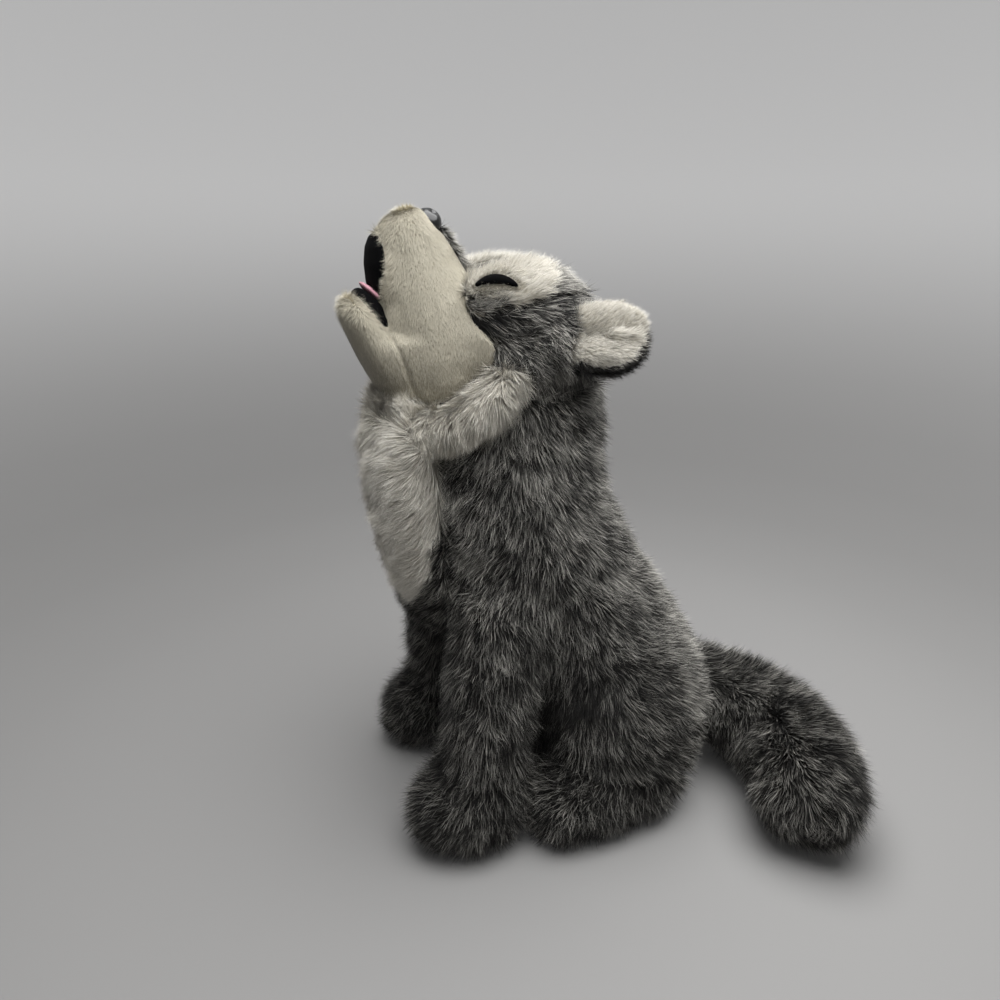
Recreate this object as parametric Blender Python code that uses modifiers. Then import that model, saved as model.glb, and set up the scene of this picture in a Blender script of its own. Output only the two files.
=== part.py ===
"""A seated plush wolf, its head thrown back in a howl.

The wolf faces -Y and sits on the plane z = 0, with its left side at +X. The origin is on the flat seat
under the torso. Sizes are in metres and include the pile of the fur, as it lies when it is brushed.
Every stuffed piece is one closed solid, cut to the shape of the piece that it is sewn to.
"""

import math

import bmesh
import bpy
from mathutils import Euler, Matrix, Vector

# What holds for every piece
SEAM_GAP = 0.0003
SIDES = {"left": 1, "right": -1}
MOST_CORNER_GROWTH = 2.0
SHORTEST_EDGE = 0.00002
FLAT_ANGLE = math.radians(0.5)

# Torso: half widths and half depths of its level sections, from the seat to the neck
SEAT_HALF_WIDTH = 0.062
SEAT_HALF_DEPTH = 0.066
BELLY_HEIGHT = 0.068
BELLY_MIDDLE = 0.032
BELLY_HALF_WIDTH = 0.070
BELLY_HALF_DEPTH = 0.075
WAIST_HEIGHT = 0.118
WAIST_MIDDLE = 0.0015
WAIST_HALF_WIDTH = 0.065
WAIST_HALF_DEPTH = 0.0745
CHEST_HEIGHT = 0.168
CHEST_MIDDLE = -0.027
CHEST_HALF_WIDTH = 0.060
CHEST_HALF_DEPTH = 0.065
SHOULDER_HEIGHT = 0.215
SHOULDER_MIDDLE = -0.0405
SHOULDER_HALF_WIDTH = 0.054
SHOULDER_HALF_DEPTH = 0.0595
NECK_HEIGHT = 0.255
NECK_MIDDLE = -0.0315
NECK_HALF_WIDTH = 0.048
NECK_HALF_DEPTH = 0.0625

# Head, an egg that the neck runs into
HEAD_HALF_WIDTH = 0.052
HEAD_HALF_LENGTH = 0.049
HEAD_HALF_HEIGHT = 0.040
HEAD_ABOVE_NECK = 0.029
HEAD_BEHIND_NECK = 0.0035

# Muzzle and lower jaw
MUZZLE_BASE_HALF_WIDTH = 0.037
MUZZLE_TIP_HALF_WIDTH = 0.019
MUZZLE_LENGTH = 0.091
JAW_HALF_WIDTH = 0.027
JAW_HALF_DEPTH = 0.012
JAW_LENGTH = 0.061
LINING_HALF_THICKNESS = 0.009
TONGUE_HALF_WIDTH = 0.012
TONGUE_HALF_LENGTH = 0.015
TONGUE_HALF_THICKNESS = 0.0024

# Face trim
NOSE_HALF_WIDTH = 0.0105
NOSE_HALF_HEIGHT = 0.0075
NOSE_HALF_DEPTH = 0.0070
BRIDGE_HALF_WIDTH = 0.0085
BRIDGE_HALF_THICKNESS = 0.0035
EYE_HALF_HEIGHT = 0.0030
EYE_HALF_THICKNESS = 0.0016

# Ears
EAR_HALF_LENGTH = 0.0235
EAR_HALF_WIDTH = 0.021
EAR_HALF_THICKNESS = 0.011

# Cheek ruffs and chest bib, of long white fur
RUFF_RADIUS = 0.0145
BIB_HALF_WIDTH = 0.046
BIB_HALF_DEPTH = 0.021
BIB_LENGTH = 0.150

# Legs and feet
FORELEG_RADIUS = 0.0245
FOREPAW_SPREAD = {"left": 0.052, "right": 0.046}
FOREPAW_SET_BACK = {"left": 0.005, "right": 0.012}
FOREPAW_HALF_WIDTH = 0.028
FOREPAW_HALF_LENGTH = 0.037
FOREPAW_HALF_HEIGHT = 0.029
HAUNCH_HALF_WIDTH = 0.038
HAUNCH_HALF_LENGTH = 0.054
HAUNCH_HALF_HEIGHT = 0.062
HIND_FOOT_HALF_WIDTH = 0.025
HIND_FOOT_HALF_LENGTH = 0.049
HIND_FOOT_HALF_HEIGHT = 0.024

# Tail
TAIL_RADIUS = 0.036
TAIL_REACH = 0.142


def new_collection(name, hidden=False):
    made = bpy.data.collections.new(name)
    bpy.context.scene.collection.children.link(made)
    made.hide_render = hidden
    return made


def material(name, colour, roughness, coat=0.0):
    """A Principled material. The colour is linear."""
    made = bpy.data.materials.new(name)
    made.use_nodes = True
    shader = made.node_tree.nodes["Principled BSDF"]
    shader.inputs["Base Color"].default_value = (*colour, 1.0)
    shader.inputs["Roughness"].default_value = roughness
    shader.inputs["Metallic"].default_value = 0.0
    shader.inputs["Coat Weight"].default_value = coat
    made.diffuse_color = (*colour, 1.0)
    return made


def object_of(name, mesh, collection):
    made = bpy.data.objects.new(name, mesh)
    collection.objects.link(made)
    return made


def turn_outward(shape):
    bmesh.ops.recalc_face_normals(shape, faces=shape.faces)
    if shape.calc_volume(signed=True) < 0:
        bmesh.ops.reverse_faces(shape, faces=shape.faces)


def settled(obj):
    """Makes the object's evaluated shape its own mesh, in clean triangles that point out."""
    bpy.context.view_layer.update()
    graph = bpy.context.evaluated_depsgraph_get()
    mesh = bpy.data.meshes.new_from_object(obj.evaluated_get(graph))
    mesh.transform(obj.matrix_world)
    obj.modifiers.clear()
    obj.matrix_world = Matrix.Identity(4)
    obj.data = mesh
    mesh.name = obj.name
    shape = bmesh.new()
    shape.from_mesh(mesh)
    bmesh.ops.remove_doubles(shape, verts=shape.verts, dist=SHORTEST_EDGE)
    bmesh.ops.dissolve_degenerate(shape, edges=shape.edges, dist=SHORTEST_EDGE)
    bmesh.ops.triangulate(shape, faces=shape.faces)
    turn_outward(shape)
    shape.to_mesh(mesh)
    shape.free()
    return obj


def loft(name, stations, corners=8, side=(1, 0, 0), level_rings=False):
    """A stuffed tube through stations of (centre, half width, half depth), its ends closed and rounded.

    The half width lies along side. The rings stand square to the path, or lie level. The cage is swollen
    so that the smoothed tube has the half sizes that are asked for.
    """
    swell = 3 / (2 + math.cos(2 * math.pi / corners))
    centres = [Vector(centre) for centre, _, _ in stations]
    shape = bmesh.new()
    rings = []
    for place, (centre, half_width, half_depth) in enumerate(stations):
        before = centres[max(place - 1, 0)]
        after = centres[min(place + 1, len(centres) - 1)]
        along = Vector((0, 0, 1)) if level_rings else (after - before).normalized()
        across = Vector(side) - along * along.dot(Vector(side))
        across.normalize()
        deep = along.cross(across)
        ring = []
        for corner in range(corners):
            angle = 2 * math.pi * (corner + 0.5) / corners
            offset = across * half_width * math.cos(angle) + deep * half_depth * math.sin(angle)
            ring.append(shape.verts.new(Vector(centre) + offset * swell))
        rings.append(ring)
    for lower, upper in zip(rings, rings[1:]):
        for corner in range(corners):
            after = (corner + 1) % corners
            shape.faces.new((lower[corner], lower[after], upper[after], upper[corner]))
    shape.faces.new(reversed(rings[0]))
    shape.faces.new(rings[-1])
    mesh = bpy.data.meshes.new(name)
    shape.to_mesh(mesh)
    shape.free()
    made = object_of(name, mesh, parts)
    smooth = made.modifiers.new("Stuffing", "SUBSURF")
    smooth.levels = 1
    smooth.render_levels = 1
    return shaped(made)


def ball(name, centre, half_sizes, turn=(0, 0, 0), segments=18, rings=11):
    """A stuffed ball, pulled to three half sizes and turned by degrees about X, Y and Z."""
    shape = bmesh.new()
    bmesh.ops.create_uvsphere(shape, u_segments=segments, v_segments=rings, radius=1.0)
    mesh = bpy.data.meshes.new(name)
    shape.to_mesh(mesh)
    shape.free()
    made = object_of(name, mesh, parts)
    turned = Euler([math.radians(angle) for angle in turn]).to_matrix().to_4x4()
    made.matrix_world = Matrix.Translation(centre) @ turned @ Matrix.Diagonal((*half_sizes, 1.0))
    return shaped(made)


def grown(form, by):
    """A cutter in the shape of a form, larger by the given distance on every side."""
    mesh = form.copy()
    shape = bmesh.new()
    shape.from_mesh(mesh)
    shape.normal_update()
    moves = [
        (vertex, vertex.normal * by * min(vertex.calc_shell_factor(), MOST_CORNER_GROWTH))
        for vertex in shape.verts
    ]
    for vertex, move in moves:
        vertex.co += move
    shape.to_mesh(mesh)
    shape.free()
    cutter = object_of(f"{form.name}_cutter", mesh, cutters)
    cutter.hide_render = True
    cutter.display_type = "WIRE"
    return cutter


def cut(obj, cutter, operation="DIFFERENCE"):
    """Applies one Boolean and keeps the largest body that it leaves."""
    step = obj.modifiers.new("Seat", "BOOLEAN")
    step.operation = operation
    step.object = cutter
    step.solver = "EXACT"
    settled(obj)
    keep_largest(obj)


def keep_largest(obj):
    """Drops the slivers that a cut leaves in the crease between two neighbours."""
    shape = bmesh.new()
    shape.from_mesh(obj.data)
    left = set(shape.verts)
    bodies = []
    while left:
        body, edge_of = set(), [left.pop()]
        while edge_of:
            vertex = edge_of.pop()
            body.add(vertex)
            for edge in vertex.link_edges:
                other = edge.other_vert(vertex)
                if other in left:
                    left.discard(other)
                    edge_of.append(other)
        bodies.append(body)
    bodies.sort(key=len)
    spare = [vertex for body in bodies[:-1] for vertex in body]
    bmesh.ops.delete(shape, geom=spare, context="VERTS")
    shape.to_mesh(obj.data)
    shape.free()


def sew_to(obj, *carriers):
    """Cuts obj back to its seams with the pieces that are already there, by their whole forms."""
    for carrier in carriers:
        for form in forms[carrier.name]:
            cut(obj, grown(form, SEAM_GAP))


def shaped(obj):
    """Settles a new piece and keeps its whole form, for the pieces that are sewn to it."""
    settled(obj)
    forms[obj.name] = [obj.data.copy()]
    return obj


def rest_on_floor(obj):
    """Cuts the piece off flat on z = 0, where its stuffing is pressed flat."""
    shape = bmesh.new()
    shape.from_mesh(obj.data)
    everything = [*shape.verts, *shape.edges, *shape.faces]
    bmesh.ops.bisect_plane(
        shape, geom=everything, plane_co=(0, 0, 0), plane_no=(0, 0, -1), clear_outer=True
    )
    rim = [edge for edge in shape.edges if edge.is_boundary]
    bmesh.ops.edgeloop_fill(shape, edges=rim)
    bmesh.ops.triangulate(shape, faces=shape.faces)
    turn_outward(shape)
    shape.to_mesh(obj.data)
    shape.free()


def finish(obj, surface):
    """Joins the flat scraps that the cuts left in each facet, and gives the piece its surface."""
    shape = bmesh.new()
    shape.from_mesh(obj.data)
    bmesh.ops.dissolve_limit(
        shape, angle_limit=FLAT_ANGLE, verts=shape.verts, edges=shape.edges, use_dissolve_boundaries=False
    )
    bmesh.ops.triangulate(shape, faces=shape.faces)
    turn_outward(shape)
    shape.to_mesh(obj.data)
    shape.free()
    obj.data.materials.clear()
    obj.data.materials.append(surface)
    obj.data.shade_smooth()
    obj.data.set_sharp_from_angle(angle=math.radians(50))


def between(sections, place):
    """The values of a table of sections at a place along it."""
    for low, high in zip(sections, sections[1:]):
        if place <= high[0]:
            share = max((place - low[0]) / (high[0] - low[0]), 0.0)
            return tuple(a + share * (b - a) for a, b in zip(low[1:], high[1:]))
    return sections[-1][1:]


def torso_sections():
    """(height, middle, half width, half depth) of the torso's level sections, from the seat up."""
    seat_middle = BELLY_MIDDLE + 0.010
    return (
        (-0.030, seat_middle, 0.7 * SEAT_HALF_WIDTH, 0.7 * SEAT_HALF_DEPTH),
        (0.018, seat_middle, SEAT_HALF_WIDTH, SEAT_HALF_DEPTH),
        (BELLY_HEIGHT, BELLY_MIDDLE, BELLY_HALF_WIDTH, BELLY_HALF_DEPTH),
        (WAIST_HEIGHT, WAIST_MIDDLE, WAIST_HALF_WIDTH, WAIST_HALF_DEPTH),
        (CHEST_HEIGHT, CHEST_MIDDLE, CHEST_HALF_WIDTH, CHEST_HALF_DEPTH),
        (SHOULDER_HEIGHT, SHOULDER_MIDDLE, SHOULDER_HALF_WIDTH, SHOULDER_HALF_DEPTH),
        (NECK_HEIGHT, NECK_MIDDLE, NECK_HALF_WIDTH, NECK_HALF_DEPTH),
        (NECK_HEIGHT + 0.030, NECK_MIDDLE, 0.6 * NECK_HALF_WIDTH, 0.6 * NECK_HALF_DEPTH),
    )


def torso_front(height):
    """The y of the torso's foremost line at a height."""
    middle, _, half_depth = between(torso_sections(), height)
    return middle - half_depth


def torso_back(height):
    middle, _, half_depth = between(torso_sections(), height)
    return middle + half_depth


def head_centre():
    return Vector((0, NECK_MIDDLE + HEAD_BEHIND_NECK, NECK_HEIGHT + HEAD_ABOVE_NECK))


def in_head(across, back, up):
    """A point in shares of the head's half sizes from its centre."""
    sizes = (HEAD_HALF_WIDTH, HEAD_HALF_LENGTH, HEAD_HALF_HEIGHT)
    return head_centre() + Vector([share * size for share, size in zip((across, back, up), sizes)])


def build_torso_and_head():
    torso = loft(
        "torso",
        [((0, middle, height), wide, deep) for height, middle, wide, deep in torso_sections()],
        corners=10,
        level_rings=True,
    )
    rest_on_floor(torso)
    head = ball("head", head_centre(), (HEAD_HALF_WIDTH, HEAD_HALF_LENGTH, HEAD_HALF_HEIGHT))
    sew_to(torso, head)
    return torso, head


def muzzle_frame():
    """The muzzle's root, the way that it points, and the way from its middle to the mouth."""
    root = in_head(0, -0.88, -0.60)
    way = Vector((0, -0.145, 1)).normalized()
    return root, way, Vector((0, -way.z, way.y))


def muzzle_sections():
    """(share of the length, half width, half depth, offset of the middle to the back)."""
    base, tip = MUZZLE_BASE_HALF_WIDTH, MUZZLE_TIP_HALF_WIDTH
    return (
        (-0.08, 0.84 * base, 0.026, 0.003),
        (0.08, 1.00 * base, 0.035, 0.003),
        (0.34, 0.94 * base, 0.0320, 0.0022),
        (0.60, 0.5 * (base + tip), 0.0245, -0.0018),
        (0.84, 1.05 * tip, 0.0170, -0.0028),
        (0.95, 0.82 * tip, 0.0118, -0.0035),
        (1.00, 0.45 * tip, 0.0068, -0.0042),
    )


def build_muzzle(torso, head):
    root, way, forward = muzzle_frame()
    stations = [
        (root + way * share * MUZZLE_LENGTH - forward * back, half_width, half_depth)
        for share, half_width, half_depth, back in muzzle_sections()
    ]
    muzzle = loft("muzzle", stations, corners=10)
    sew_to(muzzle, head, torso)
    return muzzle


def jaw_frame():
    """The jaw's root in the throat, the way that it points, and the way from its middle to the mouth."""
    root, way, forward = muzzle_frame()
    jaw_way = (way + Vector((0, -0.40, 0))).normalized()
    return root + forward * 0.019 - way * 0.003, jaw_way, Vector((0, jaw_way.z, -jaw_way.y))


def build_lower_jaw(torso, head, muzzle):
    root, way, _ = jaw_frame()
    profile = (
        (-0.07, 0.80, 0.60),
        (0.11, 1.00, 0.95),
        (0.39, 1.00, 1.00),
        (0.67, 0.86, 0.88),
        (0.90, 0.68, 0.70),
        (1.00, 0.34, 0.36),
    )
    stations = [
        (root + way * along * JAW_LENGTH, JAW_HALF_WIDTH * width, JAW_HALF_DEPTH * depth)
        for along, width, depth in profile
    ]
    jaw = loft("lower_jaw", stations)
    sew_to(jaw, muzzle, head, torso)
    return jaw


def tilt_of(way):
    """The turn about X, in degrees, that stands a ball's Z along way."""
    return math.degrees(math.atan2(-way.y, way.z))


def build_mouth(muzzle, jaw):
    """The tongue, and the black felt linings of both jaws on either side of it."""
    root, way, forward = muzzle_frame()
    jaw_root, jaw_way, jaw_inward = jaw_frame()
    tongue = ball(
        "tongue",
        jaw_root + jaw_way * 0.80 * JAW_LENGTH + jaw_inward * 1.275 * JAW_HALF_DEPTH,
        (TONGUE_HALF_WIDTH, TONGUE_HALF_THICKNESS, TONGUE_HALF_LENGTH),
        turn=(tilt_of(jaw_way) + 18, 0, 0),
        segments=14,
        rings=8,
    )
    sew_to(tongue, muzzle, jaw)
    palate = ball(
        "palate_lining",
        root + way * 0.64 * MUZZLE_LENGTH + forward * 0.0185,
        (0.86 * MUZZLE_TIP_HALF_WIDTH, LINING_HALF_THICKNESS, 0.26 * MUZZLE_LENGTH),
        turn=(tilt_of(way), 0, 0),
        segments=14,
        rings=8,
    )
    sew_to(palate, muzzle, tongue, jaw)
    bed = ball(
        "jaw_lining",
        jaw_root + jaw_way * 0.68 * JAW_LENGTH + jaw_inward * 0.575 * JAW_HALF_DEPTH,
        (0.68 * JAW_HALF_WIDTH, 1.1 * LINING_HALF_THICKNESS, 0.33 * JAW_LENGTH),
        turn=(tilt_of(jaw_way), 0, 0),
        segments=14,
        rings=8,
    )
    sew_to(bed, jaw, muzzle, tongue, palate)
    return palate, bed, tongue


def build_nose_and_bridge(muzzle, head):
    root, way, forward = muzzle_frame()
    nose = ball(
        "nose",
        root + way * 0.895 * MUZZLE_LENGTH - forward * 0.0072,
        (NOSE_HALF_WIDTH, NOSE_HALF_DEPTH, NOSE_HALF_HEIGHT),
        turn=(-30, 0, 0),
        segments=14,
        rings=8,
    )
    sew_to(nose, muzzle)
    stations = []
    for share, width, thickness in (
        (0.885, 0.45, 0.6),
        (0.85, 0.85, 1.0),
        (0.70, 1.00, 1.0),
        (0.52, 1.05, 1.0),
        (0.36, 1.00, 0.9),
    ):
        _, half_depth, back = between(muzzle_sections(), share)
        skin = root + way * share * MUZZLE_LENGTH - forward * (half_depth + back - 0.001)
        stations.append((skin, BRIDGE_HALF_WIDTH * width, BRIDGE_HALF_THICKNESS * thickness))
    bridge = loft("bridge_strip", stations)
    sew_to(bridge, muzzle, nose, head)
    return nose, bridge


def brow_shape(sign):
    centre = in_head(0.43 * sign, -0.10, 0.44)
    return centre, Vector((0.40 * HEAD_HALF_WIDTH, 0.72 * HEAD_HALF_LENGTH, 0.62 * HEAD_HALF_HEIGHT))


def build_brow_and_eye(side, sign, head, muzzle, bridge):
    centre, half_sizes = brow_shape(sign)
    brow = ball(f"brow_{side}", centre, half_sizes)
    sew_to(brow, head, muzzle, bridge)
    arc = []
    for across, back, up in (
        (0.42, -0.78, 0.46),
        (0.47, -0.70, 0.54),
        (0.53, -0.61, 0.59),
        (0.62, -0.50, 0.61),
        (0.71, -0.40, 0.59),
        (0.79, -0.31, 0.53),
        (0.86, -0.24, 0.45),
    ):
        out = Vector((across * sign, back, up)).normalized()
        arc.append(centre + Vector([a * (b + 0.0003) for a, b in zip(out, half_sizes)]))
    along = arc[-1] - arc[0]
    normal = Vector([(a - b) / c**2 for a, b, c in zip(arc[3], centre, half_sizes)])
    shares = (0.25, 0.65, 0.95, 1.00, 0.90, 0.60, 0.25)
    eye = loft(
        f"eye_{side}",
        [(point, EYE_HALF_HEIGHT * share, EYE_HALF_THICKNESS) for point, share in zip(arc, shares)],
        corners=6,
        side=normal.cross(along).normalized(),
    )
    sew_to(eye, brow)
    return brow, eye


def build_ear(side, sign, head, brow):
    """The white inner pad, in two lobes with a crease between them, and the dark shell behind it."""
    turn = (0, -28 * sign, -28 * sign)
    middle = in_head(0.96 * sign, 0.60, 0.06)
    axes = Euler([math.radians(angle) for angle in turn]).to_matrix()
    out, along, up = (axes @ Vector(axis) for axis in ((sign, 0, 0), (0, 1, 0), (0, 0, 1)))
    lobe_sizes = (0.55 * EAR_HALF_THICKNESS, 0.86 * EAR_HALF_LENGTH, 0.53 * EAR_HALF_WIDTH)
    face = middle + out * 0.55 * EAR_HALF_THICKNESS
    lobe_step = up * 0.36 * EAR_HALF_WIDTH
    inner = ball(f"ear_inner_{side}", face + lobe_step, lobe_sizes, turn=turn, segments=12, rings=8)
    lobe = ball("ear_lobe", face - lobe_step, lobe_sizes, turn=turn, segments=12, rings=8)
    cut(inner, lobe, operation="UNION")
    forms[inner.name] += forms["ear_lobe"]
    bpy.data.objects.remove(lobe)
    sew_to(inner, head, brow)
    back = ball(
        f"ear_back_{side}",
        middle,
        (EAR_HALF_THICKNESS, EAR_HALF_LENGTH, EAR_HALF_WIDTH),
        turn=turn,
        segments=14,
        rings=8,
    )
    sew_to(back, inner, head, brow)
    return inner, back


def build_ruff(side, sign, torso, head, muzzle, jaw):
    """The pad of long fur that runs from the throat up behind the muzzle."""
    stations = [
        (in_head(across * sign, back, up), RUFF_RADIUS * width, RUFF_RADIUS * depth)
        for across, back, up, width, depth in (
            (0.44, -1.36, -1.10, 0.55, 0.55),
            (0.60, -1.20, -1.05, 0.90, 0.85),
            (0.78, -0.92, -0.92, 1.05, 0.95),
            (0.86, -0.66, -0.70, 1.10, 1.00),
            (0.89, -0.42, -0.42, 1.00, 0.95),
            (0.90, -0.28, -0.18, 0.60, 0.60),
        )
    ]
    ruff = loft(f"cheek_ruff_{side}", stations)
    sew_to(ruff, head, torso, muzzle, jaw)
    return ruff


def build_bib(torso, head, muzzle, jaw, ruffs):
    top = NECK_HEIGHT + 0.006
    stations = []
    for share, width, depth, lift in (
        (0.00, 0.70, 0.60, 0.003),
        (0.09, 0.92, 0.90, 0.001),
        (0.33, 1.00, 1.00, 0.006),
        (0.60, 0.90, 1.00, 0.005),
        (0.84, 0.62, 0.95, 0.001),
        (1.00, 0.32, 0.60, 0.001),
    ):
        height = top - share * BIB_LENGTH
        centre = (0, torso_front(height) + lift, height)
        stations.append((centre, BIB_HALF_WIDTH * width, BIB_HALF_DEPTH * depth))
    bib = loft("chest_bib", stations[::-1], level_rings=True)
    sew_to(bib, torso, head, muzzle, jaw, *ruffs)
    return bib


def paw_centre(side, sign):
    front = torso_front(WAIST_HEIGHT) - 0.005 + FOREPAW_SET_BACK[side]
    return Vector((FOREPAW_SPREAD[side] * sign, front, FOREPAW_HALF_HEIGHT - 0.003))


def build_foreleg(side, sign, torso, bib):
    centre = paw_centre(side, sign)
    paw = ball(
        f"forepaw_{side}", centre, (FOREPAW_HALF_WIDTH, FOREPAW_HALF_LENGTH, FOREPAW_HALF_HEIGHT)
    )
    rest_on_floor(paw)
    shoulder = Vector((0.70 * CHEST_HALF_WIDTH * sign, CHEST_MIDDLE - 0.020, CHEST_HEIGHT - 0.006))
    ankle = centre + Vector((0, 0.007, 0.008))
    elbow = ankle.lerp(shoulder, 0.60) + Vector((0, -0.003, 0))
    stations = [
        (shoulder, 1.10 * FORELEG_RADIUS, 1.15 * FORELEG_RADIUS),
        (elbow, 1.08 * FORELEG_RADIUS, 1.15 * FORELEG_RADIUS),
        (ankle.lerp(elbow, 0.45), FORELEG_RADIUS, 1.05 * FORELEG_RADIUS),
        (ankle, 0.95 * FORELEG_RADIUS, FORELEG_RADIUS),
    ]
    leg = loft(f"foreleg_{side}", stations)
    sew_to(leg, torso, bib, paw)
    return leg, paw


def haunch_centre(sign):
    return Vector((0.72 * BELLY_HALF_WIDTH * sign, BELLY_MIDDLE - 0.003, HAUNCH_HALF_HEIGHT - 0.004))


def build_haunch(side, sign, torso, leg, paw):
    centre = haunch_centre(sign)
    middle = centre + Vector((0.018 * sign, -0.022, HIND_FOOT_HALF_HEIGHT - 0.003 - centre.z))
    profile = ((-1.0, 0.60, 0.62), (-0.74, 0.96, 0.98), (-0.20, 1.0, 1.0), (0.50, 0.92, 0.92), (1.0, 0.60, 0.60))
    foot = loft(
        f"hind_foot_{side}",
        [
            (
                middle + Vector((0, share * HIND_FOOT_HALF_LENGTH, 0)),
                HIND_FOOT_HALF_WIDTH * width,
                HIND_FOOT_HALF_HEIGHT * height,
            )
            for share, width, height in profile
        ],
    )
    rest_on_floor(foot)
    sew_to(foot, torso, paw, leg)
    haunch = ball(
        f"haunch_{side}",
        centre,
        (HAUNCH_HALF_WIDTH, HAUNCH_HALF_LENGTH, HAUNCH_HALF_HEIGHT),
        turn=(0, 0, 4 * sign),
    )
    rest_on_floor(haunch)
    sew_to(haunch, torso, foot, leg, paw)
    return haunch, foot


def build_tail(torso, haunches):
    """The tail leaves the seat at the back and bends round to the wolf's left."""
    root = Vector((0, torso_back(0.036) - 0.016, TAIL_RADIUS + 0.006))
    low = TAIL_RADIUS - 0.001
    stations = [
        (root, 0.80 * TAIL_RADIUS, 0.80 * TAIL_RADIUS),
        (root + Vector((0.24 * TAIL_REACH, 0.020, -0.004)), 0.92 * TAIL_RADIUS, 0.92 * TAIL_RADIUS),
        ((0.43 * TAIL_REACH, root.y + 0.035, low), TAIL_RADIUS, TAIL_RADIUS),
        ((0.65 * TAIL_REACH, root.y + 0.035, low), TAIL_RADIUS, TAIL_RADIUS),
        ((0.87 * TAIL_REACH, root.y + 0.018, low), TAIL_RADIUS, TAIL_RADIUS),
        ((1.01 * TAIL_REACH, root.y + 0.003, low), 0.80 * TAIL_RADIUS, 0.85 * TAIL_RADIUS),
        ((1.05 * TAIL_REACH, root.y - 0.003, low), 0.45 * TAIL_RADIUS, 0.50 * TAIL_RADIUS),
    ]
    tail = loft("tail", stations, corners=10, side=(0, 0, 1))
    rest_on_floor(tail)
    sew_to(tail, torso, *haunches)
    return tail


def build():
    torso, head = build_torso_and_head()
    muzzle = build_muzzle(torso, head)
    jaw = build_lower_jaw(torso, head, muzzle)
    palate, bed, tongue = build_mouth(muzzle, jaw)
    nose, bridge = build_nose_and_bridge(muzzle, head)
    ruffs = [build_ruff(side, sign, torso, head, muzzle, jaw) for side, sign in SIDES.items()]
    bib = build_bib(torso, head, muzzle, jaw, ruffs)
    grey = [torso, head, bridge]
    white = [bib, *ruffs]
    haunches = []
    for side, sign in SIDES.items():
        brow, eye = build_brow_and_eye(side, sign, head, muzzle, bridge)
        inner, back = build_ear(side, sign, head, brow)
        leg, paw = build_foreleg(side, sign, torso, bib)
        haunch, foot = build_haunch(side, sign, torso, leg, paw)
        haunches.append(haunch)
        white += [brow, inner]
        grey += [leg, paw, haunch, foot]
        finish(eye, black_felt)
        finish(back, dark_plush)
    grey.append(build_tail(torso, haunches))
    for surface, pieces in (
        (grey_fur, grey),
        (white_fur, white),
        (cream_plush, [muzzle, jaw]),
        (black_felt, [palate, bed]),
        (pink_felt, [tongue]),
        (black_plastic, [nose]),
    ):
        for piece in pieces:
            finish(piece, surface)


for old in list(bpy.data.objects):
    bpy.data.objects.remove(old)
parts = new_collection("plush_wolf")
cutters = new_collection("cutters", hidden=True)
forms = {}
grey_fur = material("grey_fur", (0.110, 0.107, 0.100), 0.95)
white_fur = material("white_fur", (0.62, 0.59, 0.52), 0.95)
cream_plush = material("cream_plush", (0.66, 0.61, 0.50), 0.95)
dark_plush = material("dark_plush", (0.050, 0.048, 0.045), 0.95)
black_felt = material("black_felt", (0.010, 0.010, 0.011), 1.0)
pink_felt = material("pink_felt", (0.55, 0.22, 0.26), 0.9)
black_plastic = material("black_plastic", (0.012, 0.012, 0.013), 0.18, coat=0.5)
build()
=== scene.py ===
"""The looks of a seated plush wolf, its head thrown back in a howl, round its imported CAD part.

The wolf faces -Y with its left side at +X. Lengths are in metres.
"""

import math

import bmesh
import bpy
import numpy as np
from mathutils import Euler, Matrix, Vector, noise
from mathutils.bvhtree import BVHTree


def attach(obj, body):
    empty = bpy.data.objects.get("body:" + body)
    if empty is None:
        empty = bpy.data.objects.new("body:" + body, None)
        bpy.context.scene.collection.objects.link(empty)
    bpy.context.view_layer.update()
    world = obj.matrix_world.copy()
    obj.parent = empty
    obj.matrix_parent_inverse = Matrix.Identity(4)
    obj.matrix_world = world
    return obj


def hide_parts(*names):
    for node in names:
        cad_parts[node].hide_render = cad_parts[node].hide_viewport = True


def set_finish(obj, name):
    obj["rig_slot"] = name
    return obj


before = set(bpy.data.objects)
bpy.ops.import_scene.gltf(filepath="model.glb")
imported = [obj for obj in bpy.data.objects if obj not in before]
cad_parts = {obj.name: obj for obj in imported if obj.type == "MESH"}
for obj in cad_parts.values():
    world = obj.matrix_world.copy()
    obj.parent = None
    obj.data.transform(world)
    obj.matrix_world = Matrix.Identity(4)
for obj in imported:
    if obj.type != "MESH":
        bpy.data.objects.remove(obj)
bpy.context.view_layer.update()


# The studio: a matt pale sweep that rises all round, one wide soft lamp overhead, and the light of a pale
# room. The camera stands at the wolf's left, a little in front of it and above its head.
SWEEP_RADIUS = 1.28
SWEEP_BEND = 0.9
SWEEP_WALL = 1.7
SWEEP_GREY = "#9a9998"
SWEEP_GLOW = 0.40
ROOM_LIGHT = 0.21
LAMP_WATTS = 7.9
LAMP_WIDTH = 0.75
LAMP_PLACE = (0.10, 0.03, 0.72)
CAMERA_PLACE = (0.3860, -0.1865, 0.3435)
CAMERA_WAY = (-0.8721, 0.3418, -0.3502)
CAMERA_LENS = 27.0


def linear(hex_colour):
    """The linear colour that a shader takes, from an sRGB hex value."""
    shares = [int(hex_colour[place : place + 2], 16) / 255 for place in (1, 3, 5)]
    return (*(c / 12.92 if c <= 0.04045 else ((c + 0.055) / 1.055) ** 2.4 for c in shares), 1.0)


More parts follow.
